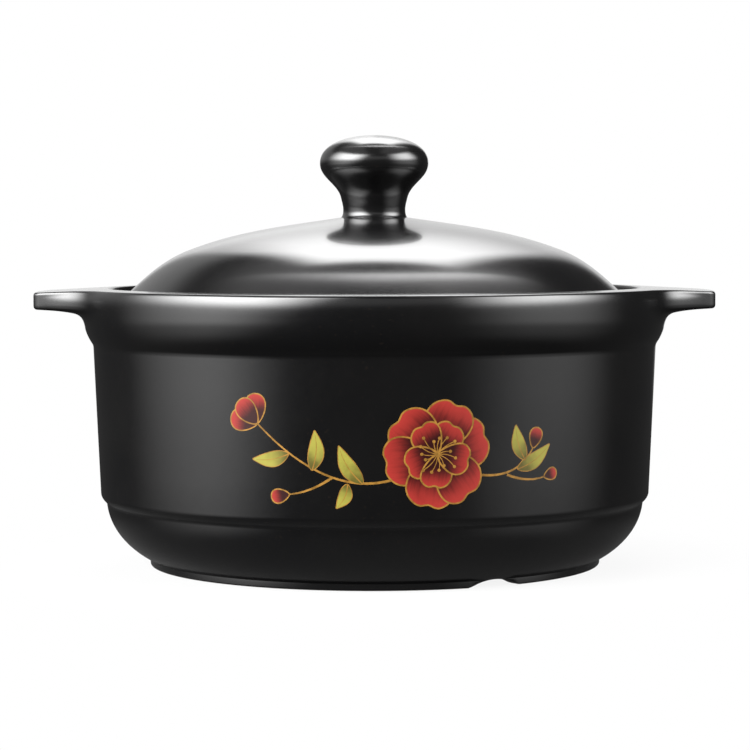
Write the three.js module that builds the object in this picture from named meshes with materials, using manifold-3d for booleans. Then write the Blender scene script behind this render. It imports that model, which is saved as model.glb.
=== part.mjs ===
// Ceramic stew pot with a domed lid. A wide pot with a rounded collar under its rim, two lug ears, a
// stepped wall and a notched foot ring carries a lid that drops into a seat inside the rim. Every piece is
// fired clay: the ears are luted to the collar and the knob to the crown of the lid. Millimetres, +Z up,
// with the origin at the centre of the foot.
import * as THREE from "three";
import { mergeVertices } from "three/addons/utils/BufferGeometryUtils.js";
import Module from "manifold-3d";

// Pot
const rimDiameter = 213; // the widest place, on the collar
const potHeight = 101.1; // from the foot to the top of the rim
const wallThickness = 7;
const wallTaper = 2.35; // how much the radius shrinks from the collar down to the step
const baseThickness = 7;
const floorRound = 22; // how far the round of the floor reaches inwards
const floorRoundRise = 17; // how far it reaches up the wall

// Collar
const collarHeight = 19.9;
const collarOverhang = 3.2; // how far the collar stands out from its lower edge
const collarWidestDrop = 8; // from the rim down to the widest place
const collarFullness = 2.5; // 2 for a parabola, more for a fuller round
const collarToeHeight = 2; // soft corner between the collar and the wall
const collarToeInset = 0.5;

// Step and bowl
const stepHeight = 26.6; // from the foot to the upper edge of the step
const stepDrop = 3.4;
const stepInset = 2.1;
const bowlToFoot = 15.8; // how far the foot is set in from the bowl above it
const bowlFootAngle = 27; // slope of the bowl where it leaves the foot
const bowlTopAngle = 85; // slope of the bowl under the step

// Foot ring and its notches
const footToe = 2.4; // outer height of the ring
const footWidth = 7;
const footRecess = 3; // how far the base is raised inside the ring
const footRound = 0.7;
const notchAngles = [-60, 60, 180];
const notchWidth = 20;
const notchHeight = 2.6;

// Rim and lid seat
const rimRound = 1.1;
const rimFall = 0.3; // how far the top of the rim slopes down outwards
const lipWidth = 9.5; // from the widest place of the collar to the inner face of the lip
const seatDepth = 6.6; // from the rim down to the seat
const seatWidth = 9;
const seatRound = 1.2;
const seatFlare = 16; // height over which the wall swells to carry the seat

// Ears
const earReach = 17.8; // how far an ear stands out from the rim
const earDrop = 0.35; // from the rim down to the top of an ear
const earFall = 0.9; // how far that top slopes down to the tip
const earTipThickness = 6.2;
const earRootThickness = 7.4;
const earRound = 1.4;
const earFillet = 7; // size of the hollow under an ear
const earFlankDrop = 7.9; // from the top of an ear to the lower edge of its flank at the collar
const earTipAngle = 9.8; // half angle, seen from above, of the full reach
const earRootAngle = 27; // half angle where the flanks run out
const earSweep = 2.5; // how long the flanks take to run out, 1 being even
const earToe = 1; // thickness left where an ear runs out

// Lid
const lidThickness = 6;
const lidClearance = 1.5; // between the lid and the lip, all round
const lidEdgeHeight = 3; // from the seat to the top of the lid's edge
const lidEdgeRound = 1.7;
const brimFlat = 0.9; // level stretch inside the edge's round
const brimHollow = 1.3; // soft corner between that stretch and the dome
const domeFootAngle = 43; // slope of the dome at its foot
const shoulderInset = 27.5; // from the lid's edge in to the shoulder
const shoulderRise = 13.7; // above the rim
const shoulderAngle = 21;
const crownRise = 25.5; // top of the lid above the rim
const crownAngle = 8.6;

// Knob
const knobDiameter = 39.8;
const knobHeight = 29.8;
const knobCapHeight = 10.3; // from the widest place to the top
const neckDiameter = 22.8;
const neckHeight = 6.9;
const neckSwell = 0.8; // how much the neck widens before it flares
const flareAngle = 78; // slope of the knob where the flare begins
const knobFootRound = 1.2;

// Gaps left where pieces touch on the real pot
const luteGap = 0.3;
const lidGap = 0.3;

// Fineness of the facets
const potFacets = 56;
const knobFacets = 32;
const earFlankSteps = 12;
const curveSteps = 6;
const cornerSteps = 3;

// Places worked out from the sizes
const rimRadius = rimDiameter / 2;
const rimEdge = potHeight - rimFall;
const collarBottom = potHeight - collarHeight;
const collarWidest = potHeight - collarWidestDrop;
const collarBottomRadius = rimRadius - collarOverhang;
const wallTopRadius = collarBottomRadius - collarToeInset;
const wallTop = collarBottom - collarToeHeight;
const wallBottomRadius = wallTopRadius - wallTaper;
const bowlRadius = wallBottomRadius - stepInset;
const bowlTop = stepHeight - stepDrop;
const footRadius = bowlRadius - bowlToFoot;
const footInnerRadius = footRadius - footWidth;
const floorHeight = footRecess + baseThickness;
const lipRadius = rimRadius - lipWidth;
const seatHeight = potHeight - seatDepth;
const seatInnerRadius = lipRadius - seatWidth;
const earTop = potHeight - earDrop;
const earTipRadius = rimRadius + earReach;
const lidRadius = lipRadius - lidClearance;
const lidSeat = seatHeight + lidGap;
const crownHeight = potHeight + crownRise;
const neckRadius = neckDiameter / 2;
const knobFootRadius = neckRadius + knobFootRound;

const blackGlaze = { color: 0x17171a, roughness: 0.3, metalness: 0 };

const bendShare = 0.36; // how far a bend pulls, as a share of its chord
const { degToRad, lerp, smootherstep } = THREE.MathUtils;
const wasm = await Module();
wasm.setup();

/** A closed geometry as a solid that can be cut and joined. */
function solidOf(geometry) {
  const bare = geometry.clone();
  bare.deleteAttribute("normal");
  bare.deleteAttribute("uv");
  const merged = mergeVertices(bare);
  const vertProperties = new Float32Array(merged.attributes.position.array);
  const triVerts = new Uint32Array(merged.index.array);
  return new wasm.Manifold(new wasm.Mesh({ numProp: 3, vertProperties, triVerts }));
}

/** The geometry of a solid. */
function geometryOf(solid) {
  const mesh = solid.getMesh();
  const geometry = new THREE.BufferGeometry();
  geometry.setAttribute("position", new THREE.BufferAttribute(mesh.vertProperties, 3));
  geometry.setIndex(new THREE.BufferAttribute(mesh.triVerts, 1));
  geometry.computeVertexNormals();
  return geometry;
}

/** A section of radius and height, turned about +Z. */
function turned(section, facets) {
  return new THREE.LatheGeometry(section, facets).rotateX(Math.PI / 2);
}

/** A named piece in a glaze of its own. */
function piece(name, geometry) {
  const mesh = new THREE.Mesh(geometry, new THREE.MeshStandardMaterial(blackGlaze));
  mesh.name = name;
  return mesh;
}

/** A point of a section. */
function at(radius, height) {
  return new THREE.Vector2(radius, height);
}

/** A point at a distance from another, in a direction in degrees from straight outwards. */
function from(point, distance, direction) {
  const turn = degToRad(direction);
  return at(point.x + distance * Math.cos(turn), point.y + distance * Math.sin(turn));
}

/** Points of a smooth bend that leaves start in one direction and reaches end in another. */
function bend(start, startDirection, end, endDirection) {
  const pull = bendShare * start.distanceTo(end);
  const pulls = [from(start, pull, startDirection), from(end, -pull, endDirection)];
  return new THREE.CubicBezierCurve(start, ...pulls, end).getPoints(curveSteps);
}

/** Points of a soft edge that leaves start and reaches end as if both ran on to the sharp point. */
function softened(start, sharp, end) {
  return new THREE.QuadraticBezierCurve(start, sharp, end).getPoints(cornerSteps);
}

/** Points of a corner rounded over a length, between two directions seen from the sharp point. */
function corner(sharp, length, startDirection, endDirection) {
  return softened(from(sharp, length, startDirection), sharp, from(sharp, length, endDirection));
}

/** Radius of the collar's round face at a height. */
function collarRadius(height) {
  const share = Math.abs(height - collarWidest) / (collarWidest - collarBottom);
  return rimRadius - collarOverhang * share ** collarFullness;
}

/** Points of a face that stands a distance off the collar, between two heights. */
function collarFace(bottom, top, standOff) {
  return Array.from({ length: curveSteps + 1 }, (_, step) => {
    const height = lerp(bottom, top, step / curveSteps);
    return at(collarRadius(height) + standOff, height);
  });
}

/** Radius of the inner wall at a height. */
function innerRadius(height) {
  const lean = wallTaper / (wallTop - stepHeight);
  return wallBottomRadius - wallThickness + lean * (height - stepHeight);
}

/** Outside of the pot, from the axis under the base out over the foot and up to the collar. */
function footToCollar() {
  return [
    at(0, footRecess),
    ...corner(at(footInnerRadius, footRecess), footRound, 180, -90),
    ...corner(at(footInnerRadius, 0), footRound, 90, 0),
    ...corner(at(footRadius, 0), footRound, 180, 90),
    ...bend(at(footRadius, footToe), bowlFootAngle, at(bowlRadius, bowlTop), bowlTopAngle),
    ...softened(
      at(bowlRadius, bowlTop),
      at(wallBottomRadius, stepHeight - stepDrop / 2),
      at(wallBottomRadius, stepHeight),
    ).slice(1),
    at(wallTopRadius, wallTop),
  ];
}

/** Rim of the pot, from the collar's round over the land and down the lip to the seat. */
function rimToSeat() {
  const outer = collarRadius(rimEdge - rimRound);
  return [
    ...corner(at(outer, rimEdge), rimRound, -90, 180),
    ...corner(at(lipRadius, potHeight), rimRound, 0, -90),
    ...corner(at(lipRadius, seatHeight), lidClearance / 2, 90, 180),
    ...corner(at(seatInnerRadius, seatHeight), seatRound, 0, -90),
  ];
}

/** Inside of the pot, from under the seat down the wall and over the floor to the axis. */
function seatToFloor() {
  const flareTop = seatHeight - seatRound;
  const flareBottom = flareTop - seatFlare;
  const roundTop = floorHeight + floorRoundRise;
  const roundEdge = innerRadius(roundTop) - floorRound;
  return [
    ...bend(at(seatInnerRadius, flareTop), -90, at(innerRadius(flareBottom), flareBottom), -90).slice(1),
    ...bend(at(innerRadius(roundTop), roundTop), -90, at(roundEdge, floorHeight), 180),
    at(0, floorHeight),
  ];
}

/** A tool for one foot notch: a shallow arch that runs outwards under the ring, at an angle in degrees. */
function notchTool(angle) {
  const half = notchWidth / 2;
  const radius = (half ** 2 + notchHeight ** 2) / (2 * notchHeight);
  const springing = Math.atan2(radius - notchHeight, half);
  const arch = new THREE.Shape();
  arch.moveTo(half, -notchHeight);
  arch.absarc(0, notchHeight - radius, radius, springing, Math.PI - springing);
  arch.lineTo(-half, -notchHeight);
  const depth = footWidth + bowlToFoot;
  const tool = new THREE.ExtrudeGeometry(arch, { depth, bevelEnabled: false, curveSegments: 2 * curveSteps });
  tool.rotateX(Math.PI / 2);
  tool.translate(0, footRound - footInnerRadius, 0);
  return tool.rotateZ(degToRad(angle + 90));
}

/** The pot: a turned shell with its foot ring notched. */
function potBody() {
  const collar = collarFace(collarBottom, rimEdge - rimRound, 0).slice(0, -1);
  const section = [...footToCollar(), ...collar, ...rimToSeat(), ...seatToFloor()];
  let body = solidOf(turned(section, potFacets));
  for (const angle of notchAngles) {
    body = body.subtract(solidOf(notchTool(angle)));
  }
  return geometryOf(body);
}

/** Face of an ear at full reach, from the rim out over the tip and back under to the collar, with the height
 * at the collar that each point slides out from. */
function earFullFace() {
  const tipTop = earTop - earFall;
  const tipBottom = tipTop - earTipThickness;
  const rootBottom = earTop - earRootThickness;
  const hollowBottom = rootBottom - earFillet;
  const rootRadius = collarRadius(rootBottom);
  const flankBottom = earTop - earFlankDrop;
  const tip = [
    ...corner(at(earTipRadius, tipTop), earRound, 180, -90),
    ...corner(at(earTipRadius, tipBottom), earRound, 90, 180),
  ];
  const hollow = softened(
    at(rootRadius + earFillet, rootBottom),
    at(rootRadius, rootBottom),
    at(collarRadius(hollowBottom), hollowBottom),
  );
  const tipHomes = tip.map(({ y }) => lerp(flankBottom, earTop, (y - tipBottom) / earTipThickness));
  const hollowHomes = hollow.map((_, step) => lerp(flankBottom, hollowBottom, (step + 1) / hollow.length));
  return {
    points: [at(collarRadius(earTop), earTop), ...tip, ...hollow],
    homes: [earTop, ...tipHomes, ...hollowHomes],
  };
}

/** Angles from the middle of an ear, in degrees, each with the share of its reach that the ear has there. */
function earStations() {
  const flank = Array.from({ length: earFlankSteps + 1 }, (_, step) => {
    const along = step / earFlankSteps;
    return {
      angle: lerp(earTipAngle, earRootAngle, along ** earSweep),
      share: lerp(1, earToe / earReach, smootherstep(along, 0, 1)),
    };
  });
  const tip = [-earTipAngle / 2, 0, earTipAngle / 2].map((angle) => ({ angle, share: 1 }));
  const otherFlank = flank.map(({ angle, share }) => ({ angle: -angle, share })).reverse();
  return [...otherFlank, ...tip, ...flank];
}

/** Section of an ear at a share of its reach, closed inside the collar. */
function earSection(share) {
  const { points, homes } = earFullFace();
  const face = points.map((point, index) => at(collarRadius(homes[index]), homes[index]).lerp(point, share));
  const bottom = face.pop();
  return [
    at(lipRadius, earTop),
    at(lipRadius, bottom.y),
    at(bottom.x + earToe, bottom.y),
    ...face.reverse(),
  ];
}

/** A closed geometry through a row of sections, swept about +Z at the given angles in degrees. */
function swept(sections, angles) {
  const count = sections[0].length;
  const positions = sections.flatMap((section, row) => {
    const turn = degToRad(angles[row]);
    return section.flatMap((point) => [point.x * Math.cos(turn), point.x * Math.sin(turn), point.y]);
  });
  const faces = [];
  for (let row = 0; row < sections.length - 1; row += 1) {
    for (let index = 0; index < count; index += 1) {
      const here = row * count + index;
      const next = row * count + ((index + 1) % count);
      faces.push(here, here + count, next, next, here + count, next + count);
    }
  }
  const last = (sections.length - 1) * count;
  for (const [a, b, c] of THREE.ShapeUtils.triangulateShape(sections[0], [])) {
    faces.push(a, b, c);
  }
  for (const [a, b, c] of THREE.ShapeUtils.triangulateShape(sections.at(-1), [])) {
    faces.push(last + a, last + c, last + b);
  }
  const geometry = new THREE.BufferGeometry();
  geometry.setAttribute("position", new THREE.Float32BufferAttribute(positions, 3));
  geometry.setIndex(faces);
  return geometry;
}

/** One ear, its middle at an angle in degrees, cut to the face of the collar. */
function ear(middle) {
  const stations = earStations();
  const sections = stations.map(({ share }) => earSection(share));
  const blank = swept(sections, stations.map(({ angle }) => middle + angle));
  const collar = [
    at(0, wallTop),
    at(collarBottomRadius + luteGap, wallTop),
    ...collarFace(collarBottom, potHeight, luteGap),
    at(0, potHeight),
  ];
  return geometryOf(solidOf(blank).subtract(solidOf(turned(collar, potFacets))));
}

/** Top face of the lid, from its edge in over the brim and the shoulder to the crown. */
function lidTopFace() {
  const edge = at(lidRadius - lidEdgeRound, lidSeat + lidEdgeHeight);
  const hollow = from(edge, brimFlat, 180);
  const domeFoot = from(hollow, brimHollow, 180);
  const brim = from(domeFoot, brimHollow, 180 - domeFootAngle);
  const shoulder = at(lidRadius - shoulderInset, potHeight + shoulderRise);
  const crown = at(knobFootRadius, crownHeight);
  return [
    edge,
    ...softened(hollow, domeFoot, brim),
    ...bend(brim, 180 - domeFootAngle, shoulder, 180 - shoulderAngle).slice(1),
    ...bend(shoulder, 180 - shoulderAngle, crown, 180 - crownAngle).slice(1),
  ];
}

/** Inner face of the lid: its top face moved square to itself by the lid's thickness, down to the seat. */
function lidInnerFace(topFace) {
  const inner = [];
  for (let index = 1; index < topFace.length - 1; index += 1) {
    const along = topFace[index + 1].clone().sub(topFace[index - 1]).normalize();
    inner.push(topFace[index].clone().addScaledVector(at(-along.y, along.x), lidThickness));
  }
  const above = inner.filter((point) => point.y > lidSeat + lidEdgeRound);
  const [lowest, next] = above;
  const slope = (lowest.x - next.x) / (next.y - lowest.y);
  return [at(lowest.x + slope * (lowest.y - lidSeat), lidSeat), ...above];
}

/** The lid: a domed shell whose edge sits inside the rim. */
function lidDome() {
  const topFace = lidTopFace();
  const edgeTop = lidSeat + lidEdgeHeight;
  const section = [
    at(0, crownHeight - lidThickness),
    ...lidInnerFace(topFace).reverse(),
    ...corner(at(lidRadius, lidSeat), lidEdgeRound, 180, 90),
    ...softened(at(lidRadius, edgeTop - lidEdgeRound), at(lidRadius, edgeTop - lidEdgeRound / 2), topFace[0]),
    ...topFace.slice(1),
    at(0, crownHeight),
  ];
  return turned(section, potFacets);
}

/** The knob: a short neck that flares into a rounded head, luted to the crown of the lid. */
function lidKnob() {
  const foot = crownHeight + luteGap;
  const top = foot + knobHeight;
  const neckTop = at(neckRadius + neckSwell, foot + neckHeight);
  const widest = at(knobDiameter / 2, top - knobCapHeight);
  const section = [
    at(0, foot),
    ...corner(at(neckRadius, foot), knobFootRound, 0, 90),
    ...bend(neckTop, flareAngle, widest, 90),
    ...bend(widest, 90, at(0, top), 180).slice(1),
  ];
  return turned(section, knobFacets);
}

const pot = new THREE.Group();
pot.add(piece("pot_body", potBody()));
pot.add(piece("left_ear", ear(180)));
pot.add(piece("right_ear", ear(0)));

const lid = new THREE.Group();
lid.add(piece("lid_dome", lidDome()));
lid.add(piece("lid_knob", lidKnob()));

const stewPot = new THREE.Group();
stewPot.add(pot, lid);

export default stewPot;
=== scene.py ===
"""Ceramic stew pot, laid out as an add-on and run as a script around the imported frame.

A black-glazed pot with lug ears carries a domed lid with a ball knob and a flower print on its front wall.
Metres, +Z up, with the origin at the centre of the foot, -Y towards the viewer and the ears on the X axis.
"""
import math
from types import SimpleNamespace

import bmesh
import bpy
from bpy.props import FloatProperty, FloatVectorProperty, PointerProperty
from bpy.types import Operator, Panel, PropertyGroup
from mathutils import Euler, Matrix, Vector
from mathutils.geometry import interpolate_bezier


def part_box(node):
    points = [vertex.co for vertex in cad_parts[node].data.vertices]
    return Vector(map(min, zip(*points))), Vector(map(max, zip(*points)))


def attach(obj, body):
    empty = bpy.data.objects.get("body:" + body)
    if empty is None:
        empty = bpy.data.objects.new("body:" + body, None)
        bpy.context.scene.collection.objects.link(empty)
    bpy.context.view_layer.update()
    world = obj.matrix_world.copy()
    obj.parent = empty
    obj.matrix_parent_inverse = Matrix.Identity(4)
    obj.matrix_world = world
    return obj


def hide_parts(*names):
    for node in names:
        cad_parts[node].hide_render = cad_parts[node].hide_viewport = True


bl_info = {
    "name": "Ceramic Stew Pot",
    "version": (1, 0, 0),
    "blender": (4, 5, 0),
    "location": "View3D > Sidebar > Stew Pot",
    "description": "Builds a glazed stew pot with its ears, lid, knob and flower print",
    "category": "Add Mesh",
}

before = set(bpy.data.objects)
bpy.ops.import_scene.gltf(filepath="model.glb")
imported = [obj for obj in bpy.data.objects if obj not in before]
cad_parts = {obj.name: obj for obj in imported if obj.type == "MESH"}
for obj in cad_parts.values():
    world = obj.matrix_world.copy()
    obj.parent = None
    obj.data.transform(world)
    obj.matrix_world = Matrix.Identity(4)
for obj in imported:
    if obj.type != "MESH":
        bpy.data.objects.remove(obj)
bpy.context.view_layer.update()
POT_LOW, POT_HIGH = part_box("pot_body")
EAR_LOW, EAR_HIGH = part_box("right_ear")
LID_LOW, LID_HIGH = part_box("lid_dome")
KNOB_LOW, KNOB_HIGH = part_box("lid_knob")

MM = 0.001
MERGE = 1e-7
OUT, UP, IN, DOWN = 0.0, math.pi / 2, math.pi, -math.pi / 2

# Fineness of the meshes
POT_STEPS = 520
LID_STEPS = 320
KNOB_STEPS = 160
SHARP_ANGLE = math.radians(50)

# How far a bend pulls, as a share of its chord, as on the CAD solids
BEND_SHARE = 0.36

# How far an ear's top reaches across the land of the rim
EAR_LAND_SHARE = 0.6

# Where an ear's flank is widest, as a share of its height, and how much more it turns back below that
FLANK_WIDEST = 0.4
FLANK_BELOW = 2.0

# From the neck of the knob to where the crown of the lid goes flat
CROWN_FLAT = 1.2 * MM

# Directions of the foot notches, counted from +X
NOTCH_ANGLES = (math.radians(-60), math.radians(60), math.radians(180))

# Heights of the print's films above the wall, and the steps between films that overlap
STEM_LIFT = 0.03 * MM
LEAF_LIFT = 0.04 * MM
BUD_LIFT = 0.05 * MM
BLOSSOM_LIFT = 0.06 * MM
PETAL_STEP = 0.014 * MM
LINE_STEP = 0.006 * MM
DOT_STEP = 0.004 * MM


def length(name, millimetres, description):
    """A length property whose default is given in millimetres."""
    return FloatProperty(
        name=name, description=description, default=millimetres * MM, min=0.0, precision=5, unit="LENGTH"
    )


def angle(name, degrees, description):
    """An angle property whose default is given in degrees."""
    return FloatProperty(name=name, description=description, default=math.radians(degrees), subtype="ANGLE")


def share(name, default, description):
    """A plain number between 0 and 1."""
    return FloatProperty(
        name=name, description=description, default=default, min=0.0, max=1.0, subtype="FACTOR"
    )


def power(name, default, description):
    """A power that shapes a curve."""
    return FloatProperty(name=name, description=description, default=default, min=1.0, max=6.0)


def strength(name, default, description):
    """The brightness of a lamp panel, where 1 shows as white."""
    return FloatProperty(name=name, description=description, default=default, min=0.0)


def colour(name, default, description):
    """A colour property, in linear light."""
    return FloatVectorProperty(
        name=name, description=description, default=default, min=0.0, max=1.0, size=3, subtype="COLOR"
    )


class PotSizes(PropertyGroup):
    """Sizes of the pot."""

    rim_diameter: length("Rim Diameter", (POT_HIGH.y - POT_LOW.y) / MM, "Widest place, on the collar")
    height: length("Height", POT_HIGH.z / MM, "From the foot to the top of the rim")
    wall: length("Wall", 7, "Thickness of the wall")
    wall_taper: length("Wall Taper", 2.35, "How much the radius shrinks from the collar to the step")
    base: length("Base", 7, "Thickness of the base")
    floor_round: length("Floor Round", 22, "How far the round of the floor reaches inwards")
    floor_round_rise: length("Floor Round Rise", 17, "How far the round reaches up the wall")
    collar_height: length("Collar Height", 19.9, "From the rim to the lower edge of the collar")
    collar_overhang: length("Collar Overhang", 3.2, "How far the collar stands out from its lower edge")
    collar_fullness: power("Collar Fullness", 2.5, "2 for a parabola, more for a fuller round")
    collar_widest_drop: length("Collar Widest Drop", 8, "From the rim to the widest place")
    collar_toe_height: length("Collar Toe Height", 2, "Height of the hollow under the collar")
    collar_toe_inset: length("Collar Toe Inset", 0.5, "Depth of the hollow under the collar")
    step_height: length("Step Height", 26.6, "From the foot to the upper edge of the step")
    step_drop: length("Step Drop", 3.4, "Height of the step")
    step_inset: length("Step Inset", 2.1, "How far the bowl is set in at the step")
    foot_inset: length("Foot Inset", 15.8, "How far the foot is set in from the bowl")
    foot_angle: angle("Foot Angle", 27, "Slope of the bowl where it leaves the foot")
    bowl_angle: angle("Bowl Angle", 85, "Slope of the bowl under the step")
    foot_toe: length("Foot Toe", 2.4, "Outer height of the foot ring")
    foot_width: length("Foot Width", 7, "Width of the foot ring")
    foot_recess: length("Foot Recess", 3, "How far the base is raised inside the ring")
    foot_round: length("Foot Round", 0.7, "Rounding of the foot ring")
    notch_width: length("Notch Width", 20, "Width of a notch in the foot ring")
    notch_height: length("Notch Height", 2.6, "Height of a notch in the foot ring")
    rim_round: length("Rim Round", 1.1, "Rounding of the rim")
    rim_fall: length("Rim Fall", 0.3, "How far the top of the rim slopes down outwards")
    lip_width: length("Lip Width", 9.5, "From the widest place to the inner face of the lip")
    seat_depth: length("Seat Depth", 6.6, "From the rim to the lid seat")
    seat_width: length("Seat Width", 9, "Width of the lid seat")
    seat_round: length("Seat Round", 1.2, "Rounding of the seat's inner edge")
    seat_hollow: length("Seat Hollow", 0.75, "Rounding between the lip and the seat")
    seat_flare: length("Seat Flare", 16, "Height over which the wall swells to carry the seat")


class EarSizes(PropertyGroup):
    """Sizes of the two ears."""

    reach: length("Reach", (EAR_HIGH.x - POT_HIGH.y) / MM, "How far an ear stands out from the rim")
    drop: length("Drop", 0.35, "From the rim to the top of an ear")
    fall: length("Fall", 0.9, "How far that top slopes down to the tip")
    tip_thickness: length("Tip Thickness", 6.2, "Thickness at the tip")
    root_thickness: length("Root Thickness", 7.4, "Thickness at the collar")
    edge_round: length("Edge Round", 1.4, "Rounding of the tip")
    fillet: length("Fillet", 7, "Size of the hollow under an ear")
    flank_drop: length("Flank Drop", 7.9, "From the top of an ear to the lower edge of its flank")
    tip_angle: angle("Tip Angle", 9.8, "Half angle of the full reach, seen from above")
    root_angle: angle("Root Angle", 28, "Half angle where the flanks run out")
    flank_sweep: power("Flank Sweep", 2.5, "1 for an even flank, more for one that trails off")
    flank_round: angle("Flank Round", 0.9, "How much narrower the ear is at the edges of its flanks")


class LidSizes(PropertyGroup):
    """Sizes of the lid."""

    diameter: length("Diameter", (LID_HIGH.y - LID_LOW.y) / MM, "Across the edge that sits in the rim")
    thickness: length("Thickness", 6, "Thickness of the dome")
    edge_height: length("Edge Height", 3, "From the seat to the top of the edge")
    edge_round: length("Edge Round", 1.7, "Rounding of the edge")
    brim_inset: length("Brim Inset", 3.9, "From the edge in to the foot of the dome")
    brim_hollow: length("Brim Hollow", 1.3, "Size of the hollow at the foot of the dome")
    brim_angle: angle("Brim Angle", 43, "Slope of the dome at its foot")
    shoulder_inset: length("Shoulder Inset", 27.5, "From the edge in to the shoulder")
    shoulder_drop: length("Shoulder Drop", 11.8, "From the crown down to the shoulder")
    shoulder_angle: angle("Shoulder Angle", 21, "Slope of the shoulder")
    crown_angle: angle("Crown Angle", 8.6, "Slope of the crown at the knob")


class KnobSizes(PropertyGroup):
    """Sizes of the knob."""

    diameter: length("Diameter", (KNOB_HIGH.y - KNOB_LOW.y) / MM, "Across the head")
    cap_height: length("Cap Height", 10.3, "From the widest place to the top")
    neck_diameter: length("Neck Diameter", 22.8, "Across the neck")
    neck_height: length("Neck Height", 6.9, "From the lid to the flare")
    neck_swell: length("Neck Swell", 0.8, "How much the neck widens before it flares")
    flare_angle: angle("Flare Angle", 78, "Slope where the flare begins")
    fillet: length("Fillet", 1.6, "Size of the glaze fillet at the lid")


class PrintLook(PropertyGroup):
    """Place, size and colours of the flower print."""

    flower_along: length("Flower Along", 21, "From the middle of the front to the blossom, along the wall")
    flower_height: length("Flower Height", 48, "From the foot to the middle of the blossom")
    petal_length: length("Petal Length", 18.5, "Length of an outer petal")
    line_width: length("Line Width", 0.55, "Width of the gold outlines")
    film: length("Film", 0.26, "Depth of the print's film, most of it in the glaze")
    petal_tip: colour("Petal Tip", (0.42, 0.036, 0.028), "Red at the tip of a petal")
    petal_base: colour("Petal Base", (0.030, 0.004, 0.004), "Dark red at the base of a petal")
    gold: colour("Gold", (0.40, 0.20, 0.035), "Outlines, stamens and stems")
    leaf: colour("Leaf", (0.36, 0.33, 0.055), "Yellow green of the leaves")
    leaf_shade: colour("Leaf Shade", (0.10, 0.085, 0.016), "Darker green at the base of a leaf")


class GlazeLook(PropertyGroup):
    """Colours and gloss of the glaze and the bare clay."""

    glaze: colour("Glaze", (0.0032, 0.0032, 0.0035), "Black of the glaze")
    bloom: colour("Bloom", (0.0054, 0.0052, 0.0052), "Slightly lighter black where the glaze is thin")
    speck: colour("Speck", (0.030, 0.021, 0.015), "Iron specks in the glaze")
    clay: colour("Clay", (0.40, 0.29, 0.19), "Bare stoneware")
    roughness: share("Roughness", 0.2, "Roughness of the glaze")


class StudioLook(PropertyGroup):
    """Floor, lamp panels and camera."""

    floor: colour("Floor", (0.62, 0.62, 0.62), "Pale floor")
    ambient: strength("Ambient", 0.035, "Dim light from all round")
    fill: strength("Fill", 0.38, "Faint light from the front and from above")
    backdrop: strength("Backdrop", 1.0, "White backdrop behind the pot")
    back_panel: strength("Back Panel", 6.1, "Light that falls on the upper part of the backdrop")
    left_panel: strength("Left Panel", 13.5, "Softbox on the left")
    right_panel: strength("Right Panel", 9.0, "Softbox on the right")
    left_wash: strength("Left Wash", 2.08, "Light that spills below the left softbox")
    right_wash: strength("Right Wash", 1.04, "Light that spills below the right softbox")
    top_panel: strength("Top Panel", 8.2, "Strip light overhead")
    camera_distance: length("Camera Distance", 985, "From the axis of the pot to the camera")
    camera_height: length("Camera Height", 124.0, "From the floor to the camera")
    camera_tilt: angle("Camera Tilt", 3.21, "How far the camera looks down")
    camera_roll: angle("Camera Roll", 0.12, "How far the camera leans")
    camera_aside: length("Camera Aside", 0.15, "How far the camera stands to the right of the middle")
    camera_lens: FloatProperty(name="Camera Lens", description="Focal length", default=128.7, unit="CAMERA")


class StewPotSettings(PropertyGroup):
    """Everything that a user would change."""

    pot: PointerProperty(type=PotSizes)
    ear: PointerProperty(type=EarSizes)
    lid: PointerProperty(type=LidSizes)
    knob: PointerProperty(type=KnobSizes)
    print_look: PointerProperty(type=PrintLook)
    glaze: PointerProperty(type=GlazeLook)
    studio: PointerProperty(type=StudioLook)


# Sections


def at(radius, height):
    """A point of a section, in the plane of +X and +Z."""
    return Vector((radius, 0.0, height))


def towards(point, distance, turn):
    """A point at a distance from another, turned up from straight outwards."""
    return point + distance * at(math.cos(turn), math.sin(turn))


def mix(first, second, amount):
    """A number between two others."""
    return first + (second - first) * amount


def ease(value):
    """A smooth rise from 0 to 1 with no kink at its ends."""
    x = min(max(value, 0.0), 1.0)
    return x * x * x * (x * (6.0 * x - 15.0) + 10.0)


def bulge(height, low, high):
    """How far a round flank has turned back at a height, 0 where it is widest and 1 at its upper edge."""
    widest = mix(low, high, FLANK_WIDEST)
    if height > widest:
        return ((height - widest) / (high - widest)) ** 2
    return FLANK_BELOW * ((widest - max(height, low)) / (widest - low)) ** 2


def run(start, end, steps):
    """Points of a straight stretch."""
    return [start.lerp(end, step / steps) for step in range(steps + 1)]


def bend(start, start_turn, end, end_turn, steps):
    """Points of a smooth bend that leaves start in one direction and reaches end in another."""
    pull = BEND_SHARE * (end - start).length
    first = towards(start, pull, start_turn)
    second = towards(end, -pull, end_turn)
    return interpolate_bezier(start, first, second, end, steps + 1)


def softened(start, sharp, end, steps):
    """Points of a soft edge that leaves start and reaches end as if both ran on to the sharp point."""
    reach = 2 / 3
    return interpolate_bezier(start, start.lerp(sharp, reach), end.lerp(sharp, reach), end, steps + 1)


def corner(sharp, size, before, after, steps=5):
    """Points of a corner rounded over a size, between two directions seen from the sharp point."""
    return softened(towards(sharp, size, before), sharp, towards(sharp, size, after), steps)


def joined(*stretches):
    """One section through all stretches, with the points that they share taken once."""
    points = []
    for point in (point for stretch in stretches for point in stretch):
        if not points or (point - points[-1]).length > MERGE:
            points.append(point)
    return points


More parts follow.
